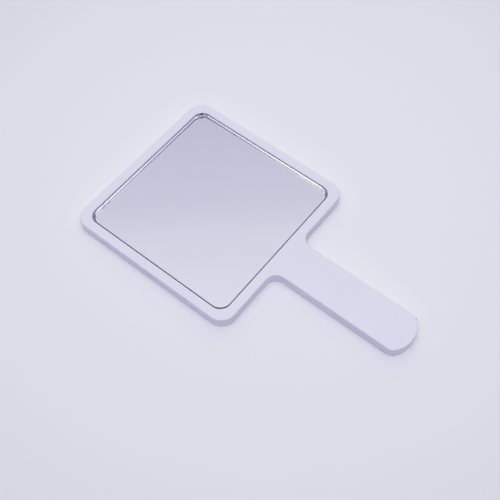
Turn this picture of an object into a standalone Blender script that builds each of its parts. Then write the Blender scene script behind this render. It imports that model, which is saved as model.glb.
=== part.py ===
"""Square hand mirror with a short straight handle, lying on its back.

The frame and the handle are one flat plastic moulding with a shallow square recess
in the front of the head. A pane of float glass, silvered and painted on its back,
is held in the recess by strips of double-sided foam tape. Nothing moves.

Metres, +Z up out of the mirror's face. The origin is the middle of the underside,
and the handle points along -Y.
"""

import math

import bmesh
import bpy

# ---------------------------------------------------------------- driving dimensions
HEAD_WIDTH = 0.0850          # along X
HEAD_HEIGHT = 0.0846         # along Y
HEAD_CORNER_RADIUS = 0.0070
THICKNESS = 0.0054

HANDLE_WIDTH = 0.0189
HANDLE_LENGTH = 0.0631       # from the head's lower edge to the tip
ROOT_RADIUS = 0.0053         # inside corner between the head and the handle
TIP_RADIUS = 0.0123          # shallow arc across the handle's end
TIP_CORNER_RADIUS = 0.0033   # where that arc meets the handle's sides

FRONT_EDGE_RADIUS = 0.0007   # outer rim, front side
BACK_EDGE_RADIUS = 0.0003    # outer rim, underside
LIP_RADIUS = 0.0003          # rim of the recess

RECESS_WIDTH = 0.0765
RECESS_HEIGHT = 0.0759
RECESS_CORNER_RADIUS = 0.0048
RECESS_FLOOR = 0.0015        # plastic left under the recess

GLASS_THICKNESS = 0.0020
GLASS_SETBACK = 0.0004       # glass face below the frame's front face
GLASS_SIDE_GAP = 0.00055     # free space between the glass and the recess wall
GLASS_CORNER_RADIUS = 0.0052
GLASS_ARRIS = 0.00015        # ground bevel on the sharp edges of the pane

FILM_THICKNESS = 0.0001      # silver and paint, drawn thicker than real films
FILM_MARGIN = 0.00005        # films end a little short of the glass edge
LAYER_GAP = 0.0001           # keeps neighbouring solids apart

TAPE_COUNT = 4
TAPE_WIDTH = 0.0120
TAPE_LENGTH = 0.0620
TAPE_PITCH = 0.0170

ARC_STEP = math.radians(9)   # longest step along a rounded corner
WELD = 1e-6                  # joins a curve's caps to its sides

# -------------------------------------------------------------------- derived places
LENGTH = HEAD_HEIGHT + HANDLE_LENGTH
HEAD_LOW_Y = LENGTH / 2 - HEAD_HEIGHT
HEAD_CENTRE_Y = LENGTH / 2 - HEAD_HEIGHT / 2
TIP_Y = -LENGTH / 2

GLASS_TOP_Z = THICKNESS - GLASS_SETBACK
GLASS_LOW_Z = GLASS_TOP_Z - GLASS_THICKNESS
SILVER_TOP_Z = GLASS_LOW_Z - LAYER_GAP
PAINT_TOP_Z = SILVER_TOP_Z - FILM_THICKNESS - LAYER_GAP
TAPE_TOP_Z = PAINT_TOP_Z - FILM_THICKNESS - LAYER_GAP
TAPE_LOW_Z = RECESS_FLOOR + LAYER_GAP

GLASS_WIDTH = RECESS_WIDTH - 2 * GLASS_SIDE_GAP
GLASS_HEIGHT = RECESS_HEIGHT - 2 * GLASS_SIDE_GAP


# ----------------------------------------------------------------------- scene setup
def clear_scene():
    for obj in list(bpy.data.objects):
        bpy.data.objects.remove(obj, do_unlink=True)


def new_collection(name):
    collection = bpy.data.collections.new(name)
    bpy.context.scene.collection.children.link(collection)
    return collection


def plain_material(name, colour, roughness, metallic=0.0, transmission=0.0):
    material = bpy.data.materials.new(name)
    material.use_nodes = True
    shader = material.node_tree.nodes["Principled BSDF"]
    shader.inputs["Base Color"].default_value = (*colour, 1.0)
    shader.inputs["Roughness"].default_value = roughness
    shader.inputs["Metallic"].default_value = metallic
    shader.inputs["Transmission Weight"].default_value = transmission
    material.diffuse_color = (*colour, 1.0)
    return material


# -------------------------------------------------------------------------- outlines
def arc(centre_x, centre_y, radius, start_deg, end_deg):
    """Points on a round stretch, both ends included; end below start runs clockwise."""
    start, end = math.radians(start_deg), math.radians(end_deg)
    steps = max(2, math.ceil(abs(end - start) / ARC_STEP))
    angles = [start + (end - start) * i / steps for i in range(steps + 1)]
    return [(centre_x + radius * math.cos(a), centre_y + radius * math.sin(a)) for a in angles]


def rounded_rectangle(width, height, radius, centre_y):
    x, y = width / 2 - radius, height / 2 - radius
    corners = ((x, -y, -90), (x, y, 0), (-x, y, 90), (-x, -y, 180))
    points = []
    for corner_x, corner_y, start in corners:
        points += arc(corner_x, centre_y + corner_y, radius, start, start + 90)
    return points


def paddle_outline():
    """The square head and the handle in one outline, counterclockwise from the handle's side."""
    root_x = HANDLE_WIDTH / 2 + ROOT_RADIUS
    root_y = HEAD_LOW_Y - ROOT_RADIUS
    points = arc(root_x, root_y, ROOT_RADIUS, 180, 90)
    points += rounded_rectangle(HEAD_WIDTH, HEAD_HEIGHT, HEAD_CORNER_RADIUS, HEAD_CENTRE_Y)
    points += arc(-root_x, root_y, ROOT_RADIUS, 90, 0)

    # Each end corner touches the handle's side and the inside of the tip arc.
    corner_x = HANDLE_WIDTH / 2 - TIP_CORNER_RADIUS
    tip_centre_y = TIP_Y + TIP_RADIUS
    drop = math.sqrt((TIP_RADIUS - TIP_CORNER_RADIUS) ** 2 - corner_x ** 2)
    corner_y = tip_centre_y - drop
    lean = math.degrees(math.atan2(corner_x, drop))
    points += arc(-corner_x, corner_y, TIP_CORNER_RADIUS, 180, 270 - lean)
    points += arc(0, tip_centre_y, TIP_RADIUS, 270 - lean, 270 + lean)[1:-1]
    points += arc(corner_x, corner_y, TIP_CORNER_RADIUS, 270 + lean, 360)
    return points


# ---------------------------------------------------------------------------- solids
def replace_with_mesh(obj, collection, one_face_ends=False):
    """Bakes a curve or a modifier stack into a plain closed mesh under the same name."""
    name = obj.name
    graph = bpy.context.evaluated_depsgraph_get()
    mesh = bpy.data.meshes.new_from_object(obj.evaluated_get(graph))
    matrix = obj.matrix_world.copy()
    bpy.data.objects.remove(obj, do_unlink=True)

    editable = bmesh.new()
    editable.from_mesh(mesh)
    bmesh.ops.remove_doubles(editable, verts=editable.verts, dist=WELD)
    for end in (min, max) if one_face_ends else ():
        level = end(vertex.co.z for vertex in editable.verts)
        cap = [f for f in editable.faces if all(abs(v.co.z - level) < WELD for v in f.verts)]
        bmesh.ops.dissolve_faces(editable, faces=cap)
    bmesh.ops.recalc_face_normals(editable, faces=editable.faces)
    editable.to_mesh(mesh)
    editable.free()

    mesh.name = name
    solid = bpy.data.objects.new(name, mesh)
    solid.matrix_world = matrix
    collection.objects.link(solid)
    return solid


def plate(name, outline, low_z, high_z, collection):
    """A flat solid between two heights, from a filled 2D curve extruded both ways."""
    curve = bpy.data.curves.new(name, "CURVE")
    curve.dimensions = "2D"
    curve.fill_mode = "BOTH"
    curve.extrude = (high_z - low_z) / 2
    spline = curve.splines.new("POLY")
    spline.points.add(len(outline) - 1)
    for point, (x, y) in zip(spline.points, outline):
        point.co = (x, y, 0.0, 1.0)
    spline.use_cyclic_u = True
    obj = bpy.data.objects.new(name, curve)
    obj.location.z = (low_z + high_z) / 2
    collection.objects.link(obj)
    bpy.context.view_layer.update()
    return replace_with_mesh(obj, collection, one_face_ends=True)


def round_edges(obj, height, radius, segments):
    """Rounds the square edges that lie at one height above the underside."""
    local_z = height - obj.location.z
    editable = bmesh.new()
    editable.from_mesh(obj.data)
    rim = [
        edge for edge in editable.edges
        if all(abs(vertex.co.z - local_z) < 1e-6 for vertex in edge.verts)
        and edge.calc_face_angle(0.0) > math.radians(60)
    ]
    bmesh.ops.bevel(
        editable, geom=rim, offset=radius, segments=segments, profile=0.5, affect="EDGES"
    )
    editable.to_mesh(obj.data)
    editable.free()


def cut(obj, cutter, collection):
    cutter.hide_render = True
    cutter.display_type = "WIRE"
    boolean = obj.modifiers.new("Cut", "BOOLEAN")
    boolean.operation = "DIFFERENCE"
    boolean.object = cutter
    bpy.context.view_layer.update()
    return replace_with_mesh(obj, collection)


def finish(obj, material):
    obj.data.materials.clear()
    obj.data.materials.append(material)
    obj.data.shade_smooth()
    obj.data.set_sharp_from_angle(angle=math.radians(35))


# ---------------------------------------------------------------------------- pieces
def make_frame_and_handle(parts, cutters):
    body = plate("frame_and_handle", paddle_outline(), 0.0, THICKNESS, parts)
    round_edges(body, THICKNESS, FRONT_EDGE_RADIUS, 4)
    round_edges(body, 0.0, BACK_EDGE_RADIUS, 2)
    opening = rounded_rectangle(
        RECESS_WIDTH, RECESS_HEIGHT, RECESS_CORNER_RADIUS, HEAD_CENTRE_Y
    )
    cutter = plate("recess_cutter", opening, RECESS_FLOOR, 2 * THICKNESS, cutters)
    body = cut(body, cutter, parts)
    round_edges(body, THICKNESS, LIP_RADIUS, 2)
    finish(body, plain_material("white_plastic", (0.80, 0.79, 0.87), 0.35))


def make_mirror_glass(parts):
    outline = rounded_rectangle(GLASS_WIDTH, GLASS_HEIGHT, GLASS_CORNER_RADIUS, HEAD_CENTRE_Y)
    glass = plate("mirror_glass", outline, GLASS_LOW_Z, GLASS_TOP_Z, parts)
    round_edges(glass, GLASS_TOP_Z, GLASS_ARRIS, 1)
    round_edges(glass, GLASS_LOW_Z, GLASS_ARRIS, 1)
    finish(glass, plain_material("clear_glass", (0.93, 0.97, 0.96), 0.02, transmission=1.0))


def make_film(name, top_z, material, parts):
    outline = rounded_rectangle(
        GLASS_WIDTH - 2 * FILM_MARGIN,
        GLASS_HEIGHT - 2 * FILM_MARGIN,
        GLASS_CORNER_RADIUS - FILM_MARGIN,
        HEAD_CENTRE_Y,
    )
    film = plate(name, outline, top_z - FILM_THICKNESS, top_z, parts)
    finish(film, material)


def make_tape_strips(parts):
    foam = plain_material("white_foam", (0.82, 0.82, 0.80), 0.9)
    for i in range(TAPE_COUNT):
        bpy.ops.mesh.primitive_cube_add(size=1.0)
        strip = bpy.context.object
        strip.name = f"foam_tape_{i + 1}"
        strip.scale = (TAPE_WIDTH, TAPE_LENGTH, TAPE_TOP_Z - TAPE_LOW_Z)
        strip.location = (
            (i - (TAPE_COUNT - 1) / 2) * TAPE_PITCH,
            HEAD_CENTRE_Y,
            (TAPE_TOP_Z + TAPE_LOW_Z) / 2,
        )
        for collection in list(strip.users_collection):
            collection.objects.unlink(strip)
        parts.objects.link(strip)
        finish(strip, foam)


def main():
    clear_scene()
    parts = new_collection("hand_mirror")
    cutters = new_collection("cutters")
    cutters.hide_render = True
    make_frame_and_handle(parts, cutters)
    make_mirror_glass(parts)
    silver = plain_material("silver", (0.93, 0.93, 0.92), 0.02, metallic=1.0)
    paint = plain_material("grey_paint", (0.30, 0.32, 0.33), 0.6)
    make_film("silver_coating", SILVER_TOP_Z, silver, parts)
    make_film("backing_paint", PAINT_TOP_Z, paint, parts)
    make_tape_strips(parts)


main()
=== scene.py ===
"""The finished surfaces of a square hand mirror lying on its back, and the studio it is seen in.

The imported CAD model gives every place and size. Each of its nodes is replaced by a finer
piece in the same space: the moulded frame and handle, the glass pane, its silver and paint,
and the four foam tapes that hold the pane. Metres, +Z up out of the mirror's face.
"""

import math

import bmesh
import bpy
from mathutils import Matrix, Vector, noise


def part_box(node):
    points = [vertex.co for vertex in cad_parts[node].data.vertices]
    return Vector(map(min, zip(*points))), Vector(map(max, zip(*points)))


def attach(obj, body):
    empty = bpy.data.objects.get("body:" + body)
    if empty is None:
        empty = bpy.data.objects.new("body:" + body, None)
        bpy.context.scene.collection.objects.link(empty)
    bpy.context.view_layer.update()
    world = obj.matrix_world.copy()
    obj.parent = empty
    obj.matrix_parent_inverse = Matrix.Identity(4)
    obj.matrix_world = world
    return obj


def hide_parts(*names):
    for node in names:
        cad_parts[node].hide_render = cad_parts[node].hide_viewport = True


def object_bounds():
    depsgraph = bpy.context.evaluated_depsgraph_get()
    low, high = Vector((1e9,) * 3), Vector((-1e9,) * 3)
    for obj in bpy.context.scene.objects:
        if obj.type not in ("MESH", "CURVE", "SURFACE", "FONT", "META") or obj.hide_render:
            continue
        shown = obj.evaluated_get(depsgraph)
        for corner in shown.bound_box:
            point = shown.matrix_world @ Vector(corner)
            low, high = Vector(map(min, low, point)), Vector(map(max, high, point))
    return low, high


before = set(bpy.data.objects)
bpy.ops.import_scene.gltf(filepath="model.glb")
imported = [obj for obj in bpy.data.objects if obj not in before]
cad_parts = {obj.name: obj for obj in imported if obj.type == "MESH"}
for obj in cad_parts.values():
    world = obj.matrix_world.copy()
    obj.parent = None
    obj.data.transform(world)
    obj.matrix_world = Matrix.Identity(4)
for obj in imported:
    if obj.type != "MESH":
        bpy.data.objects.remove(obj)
cad_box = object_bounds()

MM = 0.001
PART = "root"                        # the one body of the frame: nothing moves

# ------------------------------------------------------------- places read from the frame
BODY_LOW, BODY_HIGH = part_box("frame_and_handle")
GLASS_LOW, GLASS_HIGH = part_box("mirror_glass")
SILVER_LOW, SILVER_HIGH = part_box("silver_coating")
PAINT_LOW, PAINT_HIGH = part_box("backing_paint")
TAPE_NODES = sorted(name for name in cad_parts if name.startswith("foam_tape"))

TOP_Z = BODY_HIGH.z
HEAD_WIDTH = BODY_HIGH.x - BODY_LOW.x
PANE_CENTRE_Y = (GLASS_LOW.y + GLASS_HIGH.y) / 2
HEAD_CENTRE_Y = PANE_CENTRE_Y
HEAD_HEIGHT = 2 * (BODY_HIGH.y - HEAD_CENTRE_Y)
HEAD_LOW_Y = HEAD_CENTRE_Y - HEAD_HEIGHT / 2
TIP_Y = BODY_LOW.y
PANE_WIDTH = GLASS_HIGH.x - GLASS_LOW.x
PANE_HEIGHT = GLASS_HIGH.y - GLASS_LOW.y

# ------------------------------------------------------------------ sizes of the moulding
HEAD_CORNER = 7.0 * MM
HANDLE_WIDTH = 18.9 * MM
ROOT_RADIUS = 5.3 * MM
TIP_RADIUS = 12.3 * MM
TIP_CORNER = 3.3 * MM
FRONT_EDGE = 0.5 * MM
BACK_EDGE = 0.2 * MM
LIP_EDGE = 0.3 * MM                  # height of the recess rim's rounding
LIP_WIDTH = 0.64 * MM                # and its width: an easy roll into the recess
LIP_SHIFT = 0.45 * MM                # wider along +X and +Y, tighter along the other two sides
SIDE_GAP = 0.52 * MM                 # between the pane and the recess wall
PANE_OFF_CENTRE = (0.01 * MM, 0.06 * MM)  # recess moved to +X, +Y: the pane sits towards -X, -Y
RECESS_WIDTH = PANE_WIDTH + 2 * SIDE_GAP
RECESS_HEIGHT = PANE_HEIGHT + 2 * SIDE_GAP
RECESS_CORNER = 4.8 * MM
RECESS_FLOOR_Z = 1.5 * MM
FLOOR_FILLET = 0.3 * MM
FLAT_MARGIN = 0.12 * MM              # flat strip beside a rounded edge, which keeps faces flat

# ---------------------------------------------------------------------- sizes of the pane
PANE_CORNER = 5.2 * MM
ARRIS = 0.03 * MM
EDGE_LEAN = 0.07 * MM                # the snapped edge leans in towards the face
FILM_INSET = 0.1 * MM

ARC_STEP = math.radians(3)


# ------------------------------------------------------------------------------- outlines
def arc(centre_x, centre_y, radius, start_deg, end_deg):
    start = math.radians(start_deg)
    end = math.radians(end_deg)
    steps = max(2, math.ceil(abs(end - start) / ARC_STEP))
    angles = [start + (end - start) * i / steps for i in range(steps + 1)]
    return [(centre_x + radius * math.cos(a), centre_y + radius * math.sin(a)) for a in angles]


def rounded_rectangle(width, height, radius, centre_y, inset=0.0):
    """Counter-clockwise outline, moved in by the inset."""
    x = width / 2 - radius
    y = height / 2 - radius
    points = []
    for corner_x, corner_y, start in ((x, -y, -90), (x, y, 0), (-x, y, 90), (-x, -y, 180)):
        points += arc(corner_x, centre_y + corner_y, radius - inset, start, start + 90)
    return points


def paddle(inset=0.0):
    """Outline of the head and handle, moved in by the inset: every arc keeps its centre."""
    root_x = HANDLE_WIDTH / 2 + ROOT_RADIUS
    root_y = HEAD_LOW_Y - ROOT_RADIUS
    tip_x = HANDLE_WIDTH / 2 - TIP_CORNER
    tip_centre_y = TIP_Y + TIP_RADIUS
    drop = math.sqrt((TIP_RADIUS - TIP_CORNER) ** 2 - tip_x ** 2)
    lean = math.degrees(math.atan2(tip_x, drop))
    tip_corner_y = tip_centre_y - drop
    points = arc(root_x, root_y, ROOT_RADIUS + inset, 180, 90)
    points += rounded_rectangle(HEAD_WIDTH, HEAD_HEIGHT, HEAD_CORNER, HEAD_CENTRE_Y, inset)
    points += arc(-root_x, root_y, ROOT_RADIUS + inset, 90, 0)
    points += arc(-tip_x, tip_corner_y, TIP_CORNER - inset, 180, 270 - lean)
    points += arc(0, tip_centre_y, TIP_RADIUS - inset, 270 - lean, 270 + lean)[1:-1]
    points += arc(tip_x, tip_corner_y, TIP_CORNER - inset, 270 + lean, 360)
    return points


def quarter_round(radius, steps):
    """(inset, depth) down a rounded edge, from the flat face to the wall."""
    angles = [math.pi / 2 * i / steps for i in range(steps + 1)]
    return [(radius * (1 - math.sin(a)), radius * (1 - math.cos(a))) for a in angles]


# ---------------------------------------------------------------------------- mesh helpers
def add_ring(bm, outline, z):
    return [bm.verts.new((x, y, z)) for x, y in outline]


def join_rings(bm, rings):
    """Walls between each ring and the next."""
    for lower, upper in zip(rings, rings[1:]):
        count = len(lower)
        for i in range(count):
            j = (i + 1) % count
            bm.faces.new((lower[i], lower[j], upper[j], upper[i]))


def ring_edges(bm, ring):
    return [bm.edges.get((a, b)) for a, b in zip(ring, ring[1:] + ring[:1])]


def new_piece(name, bm, *materials):
    bmesh.ops.recalc_face_normals(bm, faces=bm.faces)
    mesh = bpy.data.meshes.new(name)
    bm.to_mesh(mesh)
    bm.free()
    mesh.shade_smooth()
    for material in materials:
        mesh.materials.append(material)
    piece = bpy.data.objects.new(name, mesh)
    bpy.context.scene.collection.objects.link(piece)
    return piece


def place(piece, slot, *nodes):
    """The piece takes the place of these CAD nodes, on the part's only body."""
    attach(piece, PART)
    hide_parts(*nodes)


# -------------------------------------------------------------------------- node materials
class Surface:
    """A Principled material whose nodes are added one at a time, in object space."""

    def __init__(self, name, colour, **constants):
        self.material = bpy.data.materials.new(name)
        self.material.use_nodes = True
        self.tree = self.material.node_tree
        self.shader = self.tree.nodes["Principled BSDF"]
        self.shader.inputs["Base Color"].default_value = (*colour, 1)
        for socket, value in constants.items():
            self.shader.inputs[socket.replace("_", " ")].default_value = value
        self.place = self.node("ShaderNodeTexCoord").outputs["Object"]

    def node(self, kind, **settings):
        made = self.tree.nodes.new(kind)
        for key, value in settings.items():
            setattr(made, key, value)
        return made

    def link(self, source, target):
        self.tree.links.new(source, target)

    def stretched(self, x, y, z):
        made = self.node("ShaderNodeMapping")
        made.inputs["Scale"].default_value = (x, y, z)
        self.link(self.place, made.inputs["Vector"])
        return made.outputs["Vector"]

    def noise(self, size, detail=2.0, roughness=0.5, place=None):
        """Noise of about this feature size, 0 to 1."""
        made = self.node("ShaderNodeTexNoise")
        made.inputs["Scale"].default_value = 1 / size
        made.inputs["Detail"].default_value = detail
        made.inputs["Roughness"].default_value = roughness
        self.link(place or self.place, made.inputs["Vector"])
        return made.outputs["Fac"]

    def ramp(self, source, low, high, to_low, to_high):
        """Maps low..high of the source to to_low..to_high, with soft ends."""
        made = self.node("ShaderNodeMapRange", interpolation_type="SMOOTHSTEP")
        for socket, value in zip(("From Min", "From Max", "To Min", "To Max"),
                                 (low, high, to_low, to_high)):
            made.inputs[socket].default_value = value
        self.link(source, made.inputs["Value"])
        return made.outputs["Result"]

    def math(self, operation, first, second):
        made = self.node("ShaderNodeMath", operation=operation)
        for socket, value in zip(made.inputs, (first, second)):
            if isinstance(value, (int, float)):
                socket.default_value = value
            else:
                self.link(value, socket)
        return made.outputs["Value"]

    def near(self, centre, size):
        """1 at a point, falling to 0 at this distance from it."""
        made = self.node("ShaderNodeVectorMath", operation="DISTANCE")
        self.link(self.place, made.inputs[0])
        made.inputs[1].default_value = centre
        return self.ramp(made.outputs["Value"], 0.55 * size, size, 1, 0)

    def blend(self, factor, first, second):
        """Colour from first to second; either may be a colour or a socket."""
        made = self.node("ShaderNodeMix", data_type="RGBA")
        self.link(factor, made.inputs["Factor"])
        for socket, value in zip((made.inputs[6], made.inputs[7]), (first, second)):
            if isinstance(value, tuple):
                socket.default_value = (*value, 1)
            else:
                self.link(value, socket)
        return made.outputs[2]

    def set(self, socket, source):
        self.link(source, self.shader.inputs[socket])

    def bump(self, *layers):
        """Layers of (height socket, depth in metres), one on the other."""
        normal = None
        for height, depth in layers:
            made = self.node("ShaderNodeBump")
            made.inputs["Strength"].default_value = 1.0
            made.inputs["Distance"].default_value = depth
            self.link(height, made.inputs["Height"])
            if normal is not None:
                self.link(normal, made.inputs["Normal"])
            normal = made.outputs["Normal"]
        self.set("Normal", normal)


PLASTIC = (0.800, 0.790, 0.848)
PLASTIC_SHADE = (0.786, 0.775, 0.840)
RECESS_PAINTED_SHADE = (0.76, 0.755, 0.92)         # painted shade: bluer and a little darker inside the recess, in place of the bounced light lost there
RECESS_PAINTED_SHADE_DEEP = (0.74, 0.735, 0.91)
SPECK = (0.50, 0.45, 0.47)
NICK = (0.50, 0.36, 0.36)
CHIP_PAINTED_SHADE = (0.03, 0.03, 0.05)            # painted shade: near-black on the recess wall behind the pane's chipped +X +Y corner


def satin_plastic(name, colour, shade):
    """Pale lavender moulding: fine satin grain, flow waves, faint scuffs, two small marks, and a near-black
    spot of painted shade in the gap at the pane's chipped corner.
    """
    s = Surface(name, colour, IOR=1.49)
    clouds = s.noise(22 * MM, 3.0)
    tint = s.blend(s.ramp(clouds, 0.35, 0.65, 0, 1), colour, shade)
    tint = s.blend(s.near((-2.4 * MM, -69.2 * MM, TOP_Z), 0.32 * MM), tint, SPECK)
    # painted shade: a near-black spot on the recess wall in the gap at the pane's chipped +X +Y corner
    tint = s.blend(s.near((36.8 * MM, 68.0 * MM, 4.3 * MM), 0.85 * MM), tint, CHIP_PAINTED_SHADE)
    tip_nick = s.near((8.62 * MM, -69.7 * MM, 5.1 * MM), 0.5 * MM)
    s.set("Base Color", s.blend(tip_nick, tint, NICK))

    fine = s.noise(0.22 * MM, 3.0)
    scuffs = s.noise(1.6 * MM, 4.0, 0.62, s.stretched(1.0, 0.07, 1.0))
    gloss = s.ramp(clouds, 0.3, 0.7, 0.36, 0.42)
    gloss = s.math("ADD", gloss, s.ramp(fine, 0.3, 0.7, -0.03, 0.03))
    gloss = s.math("ADD", gloss, s.ramp(scuffs, 0.60, 0.75, 0.0, 0.07))
    s.set("Roughness", gloss)
    s.bump((s.noise(14 * MM, 1.0), 0.03 * MM), (fine, 0.004 * MM), (scuffs, 0.002 * MM))
    return s.material


# painted shade: the ground edges' dark navy stands in for the bluish shade in the gap beside the pane
EDGE_PAINTED_SHADE = (0.17, 0.20, 0.44)
EDGE_PAINTED_SHADE_PALE = (0.22, 0.25, 0.50)


def pane_glass():
    """Clear float glass: an almost perfect face with faint wiping haze."""
    s = Surface("pane_glass", (1, 1, 1), Transmission_Weight=1.0, IOR=1.52)
    haze = s.noise(7 * MM, 4.0, 0.6, s.stretched(1.0, 0.35, 1.0))
    s.set("Roughness", s.ramp(haze, 0.45, 0.75, 0.0, 0.012))
    s.bump((s.noise(30 * MM, 0.0), 0.0006 * MM))
    tint = s.node("ShaderNodeVolumeAbsorption")
    tint.inputs["Color"].default_value = (0.66, 0.84, 0.93, 1)
    tint.inputs["Density"].default_value = 12.0
    s.link(tint.outputs["Volume"], s.tree.nodes["Material Output"].inputs["Volume"])
    return s.material


def cut_glass():
    """The pane's snapped edge: the same glass with fine ripple marks across the cut."""
    s = Surface("cut_glass_edge", (1, 1, 1), Transmission_Weight=1.0, IOR=1.52)
    ripple = s.noise(1.1 * MM, 3.0, 0.55, s.stretched(1.0, 1.0, 0.3))
    s.set("Roughness", s.ramp(ripple, 0.3, 0.8, 0.02, 0.12))
    s.bump((ripple, 0.02 * MM))
    return s.material


def ground_glass():
    """Ground edges: milky glass coloured dark navy as painted shade of the gap beside the pane, mottled
    paler and darker over its pits.
    """
    s = Surface("ground_glass_edge", EDGE_PAINTED_SHADE, Transmission_Weight=0.3, IOR=1.52)
    pits = s.noise(0.25 * MM, 3.0)
    s.set("Base Color", s.blend(pits, EDGE_PAINTED_SHADE, EDGE_PAINTED_SHADE_PALE))
    s.set("Roughness", s.ramp(pits, 0.3, 0.7, 0.25, 0.45))
    s.bump((pits, 0.01 * MM))
    return s.material


def silvering():
    """The reflecting film, with the faint mottle of wet silvering."""
    s = Surface("silvering", (0.92, 0.928, 0.918), Metallic=1.0)
    mottle = s.noise(3 * MM, 3.0)
    s.set("Base Color", s.blend(mottle, (0.925, 0.935, 0.922), (0.911, 0.920, 0.909)))
    s.set("Roughness", s.ramp(mottle, 0.3, 0.7, 0.0, 0.01))
    s.bump((mottle, 0.00002 * MM))
    return s.material


def back_paint():
    """Violet-grey protective paint, rolled on: soft stipple and slow patches of shade."""
    s = Surface("back_paint", (0.25, 0.25, 0.38))
    stipple = s.noise(0.8 * MM, 4.0, 0.6)
    patches = s.noise(11 * MM, 3.0)
    s.set("Base Color", s.blend(patches, (0.22, 0.22, 0.35), (0.28, 0.28, 0.41)))
    s.set("Roughness", s.ramp(stipple, 0.3, 0.7, 0.52, 0.68))
    s.bump((stipple, 0.01 * MM))
    return s.material


def tape_foam():
    """White closed-cell foam with its cut cells showing, their hollows darkened with painted shade."""
    s = Surface("tape_foam", (0.82, 0.82, 0.80))
    cells = s.node("ShaderNodeTexVoronoi")
    cells.inputs["Scale"].default_value = 1 / (0.25 * MM)
    s.link(s.place, cells.inputs["Vector"])
    pores = cells.outputs["Distance"]
    # painted shade: the foam is darker at the middle of each cut cell
    s.set("Base Color", s.blend(s.ramp(pores, 0.0, 0.5, 0, 1), (0.66, 0.66, 0.63), (0.85, 0.85, 0.83)))
    s.set("Roughness", s.ramp(pores, 0.0, 0.6, 0.95, 0.75))
    s.bump((pores, 0.03 * MM))
    return s.material


def tape_adhesive():
    """Clear acrylic adhesive on the tape's two faces: slightly yellow and glossy."""
    s = Surface("tape_adhesive", (0.80, 0.79, 0.72))
    drag = s.noise(1.5 * MM, 3.0, 0.5, s.stretched(1.0, 0.15, 1.0))
    s.set("Base Color", s.blend(drag, (0.76, 0.75, 0.68), (0.84, 0.83, 0.77)))
    s.set("Roughness", s.ramp(drag, 0.3, 0.7, 0.18, 0.32))
    s.bump((drag, 0.01 * MM))
    return s.material


# --------------------------------------------------------------------- frame and handle
def make_body():
    bm = bmesh.new()
    back = quarter_round(BACK_EDGE, 4)
    front = quarter_round(FRONT_EDGE, 10)
    outer = [(BACK_EDGE + FLAT_MARGIN, 0.0)]
    outer += back
    outer += [(0.0, BACK_EDGE + FLAT_MARGIN), (0.0, TOP_Z - FRONT_EDGE - FLAT_MARGIN)]
    outer += [(inset, TOP_Z - depth) for inset, depth in reversed(front)]
    outer += [(FRONT_EDGE + FLAT_MARGIN, TOP_Z)]
    outside = [add_ring(bm, paddle(inset), z) for inset, z in outer]
    join_rings(bm, outside)
    bm.faces.new(outside[0])

    lip = [(LIP_WIDTH + FLAT_MARGIN, 0.0)]
    lip += [(inset * LIP_WIDTH / LIP_EDGE, depth) for inset, depth in quarter_round(LIP_EDGE, 8)]
    inner = [(-inset, TOP_Z - depth) for inset, depth in lip]
    inner += [(0.0, TOP_Z - LIP_EDGE - FLAT_MARGIN)]
    foot = quarter_round(FLOOR_FILLET, 3)
    for inset, depth in reversed(foot):
        inner.append((FLOOR_FILLET - depth, RECESS_FLOOR_Z + FLOOR_FILLET - inset))
    recess = []
    for inset, z in inner:
        roll = LIP_SHIFT * min(1.0, max(0.0, -inset) / LIP_WIDTH)
        over_x, over_y = (roll + offset for offset in PANE_OFF_CENTRE)
        outline = rounded_rectangle(RECESS_WIDTH, RECESS_HEIGHT, RECESS_CORNER, HEAD_CENTRE_Y, inset)
        recess.append(add_ring(bm, [(x + over_x, y + over_y) for x, y in outline], z))
    join_rings(bm, recess)
    bm.faces.new(recess[-1])

    rims = ring_edges(bm, outside[-1]) + ring_edges(bm, recess[0])
    bmesh.ops.triangle_fill(bm, edges=rims, use_beauty=True, normal=(0, 0, 1))
    for face in bm.faces:
        middle = face.calc_center_median()
        inside = abs(middle.x) < PANE_WIDTH / 2 + MM and abs(middle.y - HEAD_CENTRE_Y) < PANE_HEIGHT / 2 + MM
        below = max(vert.co.z for vert in face.verts) < TOP_Z - LIP_EDGE / 2
        # faces inside the recess, below its rim, take the recess colour of painted shade
        face.material_index = 1 if inside and below and middle.z > MM else 0
    skins = [satin_plastic("satin_plastic", PLASTIC, PLASTIC_SHADE)]
    skins.append(satin_plastic("recess_plastic_painted_shade", RECESS_PAINTED_SHADE, RECESS_PAINTED_SHADE_DEEP))
    piece = new_piece("frame_moulding", bm, *skins)
    place(piece, "body_plastic", "frame_and_handle")


# -------------------------------------------------------------------------- mirror pane
EDGE_STEP = 0.5 * MM
CHIPPED_EDGE = (-29 * MM, 5 * MM)    # middle and half length of a ragged stretch of the +Y edge
FAR_CORNER = Vector((0.77, 0.63, 0))  # out of the pane, towards its +X +Y corner
CHIP_HEIGHT = 0.5 * MM
CUT, GROUND_EDGE = 1, 2              # the edge's materials, after the clear glass
CHIPS = (                            # middle, half width, reach in from the rim
    ((35.9 * MM, 67.3 * MM), 0.60 * MM, 0.30 * MM),
    ((33.7 * MM, 68.5 * MM), 0.55 * MM, 0.35 * MM),
    ((37.1 * MM, 64.9 * MM), 0.55 * MM, 0.35 * MM),
    ((-26.3 * MM, 68.9 * MM), 0.50 * MM, 0.08 * MM),
)


def divided(outline, longest):
    """The outline with its straight runs cut into short steps."""
    points = []
    for (x0, y0), (x1, y1) in zip(outline, outline[1:] + outline[:1]):
        steps = max(1, math.ceil(math.hypot(x1 - x0, y1 - y0) / longest))
        points += [(x0 + (x1 - x0) * i / steps, y0 + (y1 - y0) * i / steps) for i in range(steps)]
    return points


def outward(outline):
    """Unit vectors out of a counter-clockwise outline, one at each point."""
    around = outline[-1:] + outline + outline[:1]
    normals = []
    for (x0, y0), (x1, y1) in zip(around, around[2:]):
        normals.append(Vector((y1 - y0, x0 - x1)).normalized())
    return normals


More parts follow.
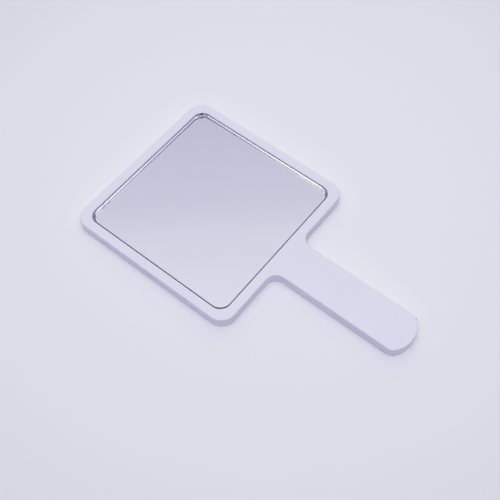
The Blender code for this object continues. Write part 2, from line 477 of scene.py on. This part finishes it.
def ragged(x, y):
    """How ragged the snapped edge is at this place, 0 to 1."""
    middle, reach = CHIPPED_EDGE
    along = abs(x - middle) / reach
    return max(0.0, 1 - along * along) if y > PANE_CENTRE_Y + PANE_HEIGHT / 2 - MM else 0.0


def edge_drift(x, y, z):
    """How far a hand-snapped edge strays from its line: long waves, ripples, and one ragged stretch."""
    wave = noise.noise(Vector((x, y, 0.4 * z)) / (6 * MM))
    ripple = noise.noise(Vector((x, y, z)) / (1.3 * MM) + Vector((9, 0, 0)))
    tear = noise.noise(Vector((x, y, z)) / (0.8 * MM) + Vector((0, 9, 0)))
    return (0.035 * wave + 0.010 * ripple + 0.16 * ragged(x, y) * tear) * MM


def is_ground(normal):
    """The near edges and the far corner were ground and carry the painted shade of the gap; the +X and +Y
    edges are left as snapped.
    """
    facing = normal.dot(FAR_CORNER)
    return facing < 0.25 or facing > 0.87


def chip_reach(x, y):
    """How far in from the rim the face is chipped away here."""
    deepest = 0.0
    for middle, half_width, reach in CHIPS:
        away = math.dist((x, y), middle) / half_width
        deepest = max(deepest, reach * (1 - away * away))
    return deepest


def snapped_ring(bm, base, normals, inset, chipped, z):
    """The snapped edges lean in towards the face; the ground ones are upright."""
    lean = EDGE_LEAN * (z - GLASS_LOW.z) / (GLASS_HIGH.z - GLASS_LOW.z)
    points = []
    for (x, y), normal in zip(base, normals):
        far_side = min(1.0, max(0.0, 2 * normal.dot(FAR_CORNER.xy)))
        shift = min(edge_drift(x, y, z), 0.0) - inset - lean * far_side - chipped * chip_reach(x, y)
        points.append((x + normal.x * shift, y + normal.y * shift))
    return add_ring(bm, points, z)


def make_pane():
    bm = bmesh.new()
    low = GLASS_LOW.z
    high = GLASS_HIGH.z
    outline = rounded_rectangle(PANE_WIDTH, PANE_HEIGHT, PANE_CORNER, PANE_CENTRE_Y)
    base = divided(outline, EDGE_STEP)
    normals = outward(base)
    levels = [(ARRIS, 0, low)]
    for i in range(5):
        levels.append((0.0, 0, low + ARRIS + (high - low - ARRIS - CHIP_HEIGHT) * i / 4))
    levels += [(0.0, 1, high - ARRIS), (ARRIS, 1, high)]
    rings = [snapped_ring(bm, base, normals, *level) for level in levels]
    join_rings(bm, rings)
    flats = [bm.faces.new(rings[0]), bm.faces.new(rings[-1])]
    bm.normal_update()
    for face in bm.faces:
        edge = GROUND_EDGE if is_ground(face.normal) else CUT
        face.material_index = 0 if face in flats else edge
    materials = pane_glass(), cut_glass(), ground_glass()
    piece = new_piece("glass_pane", bm, *materials)
    for face in piece.data.polygons:
        face.use_smooth = face.material_index != 0
    piece.data.set_sharp_from_angle(angle=math.radians(30))
    place(piece, "clear_glass", "mirror_glass")


def make_film(name, low, high, slot, material, *nodes):
    bm = bmesh.new()
    outline = rounded_rectangle(high.x - low.x, high.y - low.y, PANE_CORNER - FILM_INSET, PANE_CENTRE_Y)
    rings = [add_ring(bm, outline, z) for z in (low.z, high.z)]
    join_rings(bm, rings)
    bm.faces.new(rings[0])
    bm.faces.new(rings[-1])
    piece = new_piece(name, bm, material)
    piece.data.set_sharp_from_angle(angle=math.radians(30))
    place(piece, slot, *nodes)


# --------------------------------------------------------------------------- foam tapes
TAPE_SKIN = 0.05 * MM
TAPE_BULGE = 0.25 * MM


def make_tape(index, node, foam, adhesive):
    """A strip squeezed between pane and frame: foam bulges out between its adhesive faces."""
    low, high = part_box(node)
    bm = bmesh.new()
    width = high.x - low.x
    length = high.y - low.y
    centre = Vector(((low.x + high.x) / 2, (low.y + high.y) / 2))
    rise = high.z - low.z
    rows = [(0.0, 0.0), (TAPE_SKIN, 0.0)]
    rows += [(TAPE_SKIN + (rise - 2 * TAPE_SKIN) * i / 6, math.sin(math.pi * i / 6)) for i in range(1, 6)]
    rows += [(rise - TAPE_SKIN, 0.0), (rise, 0.0)]
    half_x = width / 2
    half_y = length / 2
    corners = [(-half_x, -half_y), (half_x, -half_y), (half_x, half_y), (-half_x, half_y)]
    rim = divided(corners, 1.0 * MM)
    rings = []
    for up, bulge in rows:
        outline = []
        for x, y in rim:
            wander = 0.3 * abs(noise.noise(Vector((x / MM, y / MM, index * 7.0))))
            pulled_in = TAPE_BULGE * (1 - bulge * (1 - wander))
            outline.append((centre.x + x * (1 - 2 * pulled_in / width),
                            centre.y + y * (1 - 2 * pulled_in / length)))
        rings.append(add_ring(bm, outline, low.z + up))
    join_rings(bm, rings)
    bm.faces.new(rings[0])
    bm.faces.new(rings[-1])
    for face in bm.faces:
        middle = face.calc_center_median().z - low.z
        face.material_index = 1 if middle < TAPE_SKIN or middle > rise - TAPE_SKIN else 0
    piece = new_piece(f"tape_strip_{index}", bm, foam, adhesive)
    piece.data.set_sharp_from_angle(angle=math.radians(40))
    place(piece, "foam_tape", node)


# --------------------------------------------------------------------------------- studio
FLOOR_COLOUR = (0.848, 0.849, 0.857)
FLOOR_PAINTED_DIM = (0.728, 0.730, 0.737)
FALLOFF_RADIUS = 208 * MM            # painted pool of light: the paper's colour darkens away from the lamp above the mirror
FLOOR_BRIGHTEST = (29 * MM, 24 * MM, 0)
FLOOR_SIZE = 3.0
FLOOR_DROP = 0.05 * MM


def seamless_paper():
    s = Surface("seamless_paper", FLOOR_COLOUR, Specular_IOR_Level=0.2)
    fibres = s.noise(0.6 * MM, 4.0, 0.6)
    spread = s.node("ShaderNodeVectorMath", operation="DISTANCE")
    s.link(s.place, spread.inputs[0])
    spread.inputs[1].default_value = FLOOR_BRIGHTEST
    falloff = s.math("POWER", s.math("DIVIDE", spread.outputs["Value"], FALLOFF_RADIUS), 3.0)
    # painted light: the paper's colour fades from bright to dim away from FLOOR_BRIGHTEST
    s.set("Base Color", s.blend(s.math("MINIMUM", falloff, 1.0), FLOOR_COLOUR, FLOOR_PAINTED_DIM))
    s.set("Roughness", s.ramp(fibres, 0.3, 0.7, 0.8, 0.95))
    s.bump((fibres, 0.004 * MM))
    return s.material


def make_floor():
    bm = bmesh.new()
    bmesh.ops.create_grid(bm, x_segments=1, y_segments=1, size=FLOOR_SIZE / 2)
    floor = new_piece("floor", bm, seamless_paper())
    floor.location.z = cad_box[0].z - FLOOR_DROP


class Sky:
    """World nodes: a soft ceiling light over a pale room, both by direction only."""

    def __init__(self):
        world = bpy.data.worlds.new("studio")
        bpy.context.scene.world = world
        world.use_nodes = True
        self.tree = world.node_tree
        self.background = self.tree.nodes["Background"]
        self.direction = self.node("ShaderNodeTexCoord").outputs["Generated"]

    def node(self, kind, **settings):
        made = self.tree.nodes.new(kind)
        for key, value in settings.items():
            setattr(made, key, value)
        return made

    def dot(self, vector):
        made = self.node("ShaderNodeVectorMath", operation="DOT_PRODUCT")
        self.tree.links.new(self.direction, made.inputs[0])
        made.inputs[1].default_value = vector
        return made.outputs["Value"]

    def math(self, operation, *values):
        made = self.node("ShaderNodeMath", operation=operation)
        for socket, value in zip(made.inputs, values):
            if isinstance(value, (int, float)):
                socket.default_value = value
            else:
                self.tree.links.new(value, socket)
        return made.outputs["Value"]

    def step(self, source, low, high, to_low=0.0, to_high=1.0, kind="SMOOTHSTEP"):
        made = self.node("ShaderNodeMapRange", interpolation_type=kind)
        for socket, value in zip(("From Min", "From Max", "To Min", "To Max"), (low, high, to_low, to_high)):
            made.inputs[socket].default_value = value
        self.tree.links.new(source, made.inputs["Value"])
        return made.outputs["Result"]

    def mix(self, factor, first, second):
        made = self.node("ShaderNodeMix", data_type="RGBA", clamp_result=False)
        self.tree.links.new(factor, made.inputs["Factor"])
        for socket, value in zip((made.inputs[6], made.inputs[7]), (first, second)):
            if isinstance(value, tuple):
                socket.default_value = (*value, 1)
            else:
                self.tree.links.new(value, socket)
        return made.outputs[2]


PANEL_TURN = 42.0                    # degrees from +X of the way across the light's far edge
PANEL_STOPS = (                      # ceiling place across that edge, and the light there
    (-0.80, (1.94, 1.84, 2.42)),
    (-0.25, (3.70, 3.74, 3.17)),
    (0.15, (1.92, 1.98, 2.10)),
    (0.50, (0.80, 0.785, 0.895)),
    (0.62, (0.72, 0.71, 0.85)),
    (0.67, (0.648, 0.638, 0.79)),
    (0.80, (0.575, 0.573, 0.725)),
    (0.95, (0.53, 0.525, 0.69)),
    (1.50, (1.12, 1.17, 0.80)),
    (3.00, (0.74, 0.78, 0.64)),
)
PANEL_NEAR = (-1.1, -0.6)            # the light's soft near edge
PANEL_ENDS = (0.0, 1.02)             # its soft ends overhead
PANEL_FAR_ENDS = (0.6, 1.3)          # and towards the far wall, where it widens
PANEL_WIDENS = (0.2, 0.45)
ROOM_NEAR = (0.070, 0.045, 0.28)
ROOM_FAR = (0.275, 0.27, 0.455)
BACKDROP = (0.70, 0.70, 0.80)


def make_sky():
    sky = Sky()
    turn = math.radians(PANEL_TURN)
    rise = sky.math("MAXIMUM", sky.dot((0, 0, 1)), 0.02)
    across = sky.math("DIVIDE", sky.dot((math.cos(turn), math.sin(turn), 0)), rise)
    along = sky.math("ABSOLUTE", sky.math("DIVIDE", sky.dot((-math.sin(turn), math.cos(turn), 0)), rise))
    first_stop, last_stop = PANEL_STOPS[0][0], PANEL_STOPS[-1][0]
    ramp = sky.node("ShaderNodeValToRGB")
    ramp.color_ramp.interpolation = "LINEAR"
    sky.tree.links.new(sky.step(across, first_stop, last_stop, kind="LINEAR"), ramp.inputs["Fac"])
    stops = ramp.color_ramp.elements
    while len(stops) < len(PANEL_STOPS):
        stops.new(0.5)
    for stop, (position, light) in zip(stops, PANEL_STOPS):
        stop.position = (position - first_stop) / (last_stop - first_stop)
    for stop, (position, light) in zip(stops, PANEL_STOPS):
        stop.color = (*light, 1)
    towards_far = sky.dot((math.cos(turn), math.sin(turn), 0))
    room = sky.mix(sky.step(towards_far, -0.5, 0.6), ROOM_NEAR, ROOM_FAR)
    ends = sky.step(along, *PANEL_ENDS, 1.0, 0.0, "LINEAR")
    overhead = sky.math("MULTIPLY", sky.step(across, *PANEL_NEAR), ends)
    widening = sky.step(across, *PANEL_WIDENS)
    panel = sky.math("MULTIPLY", overhead, sky.math("SUBTRACT", 1.0, widening))
    beyond = sky.math("MULTIPLY", sky.step(along, *PANEL_FAR_ENDS, 1.0, 0.0), widening)
    panel = sky.math("ADD", panel, beyond)
    light = sky.mix(panel, room, ramp.outputs["Color"])
    seen = sky.node("ShaderNodeLightPath").outputs["Is Camera Ray"]
    light = sky.mix(seen, light, BACKDROP)
    sky.tree.links.new(light, sky.background.inputs["Color"])


# --------------------------------------------------------------------------------- camera
LENS = 63.2                          # mm, on a 36 mm sensor
VIEW_AZIMUTH = -50.65
VIEW_ELEVATION = 59.17
VIEW_ROLL = -0.93
VIEW_DISTANCE = 379.4 * MM
VIEW_TARGET = Vector((-5.18 * MM, 5.52 * MM, 0))


def make_camera():
    data = bpy.data.cameras.new("camera")
    data.lens = LENS
    data.sensor_width = 36.0
    data.clip_start = 0.01
    camera = bpy.data.objects.new("camera", data)
    bpy.context.scene.collection.objects.link(camera)
    azimuth = math.radians(VIEW_AZIMUTH)
    elevation = math.radians(VIEW_ELEVATION)
    back = Vector((math.sin(azimuth) * math.cos(elevation),
                   -math.cos(azimuth) * math.cos(elevation),
                   math.sin(elevation)))
    turn = Matrix.Rotation(azimuth, 4, "Z") @ Matrix.Rotation(math.pi / 2 - elevation, 4, "X")
    turn = turn @ Matrix.Rotation(math.radians(VIEW_ROLL), 4, "Z")
    camera.matrix_world = Matrix.Translation(VIEW_TARGET + back * VIEW_DISTANCE) @ turn
    bpy.context.scene.camera = camera


# --------------------------------------------------------------------------------- build
def main():
    bpy.context.scene.view_settings.view_transform = "Standard"
    make_camera()
    make_sky()
    make_floor()
    make_body()
    make_pane()
    make_film("silver_film", SILVER_LOW, SILVER_HIGH, "silver", silvering(), "silver_coating")
    make_film("paint_film", PAINT_LOW, PAINT_HIGH, "back_paint", back_paint(), "backing_paint")
    foam = tape_foam()
    adhesive = tape_adhesive()
    for index, node in enumerate(TAPE_NODES, 1):
        make_tape(index, node, foam, adhesive)


main()
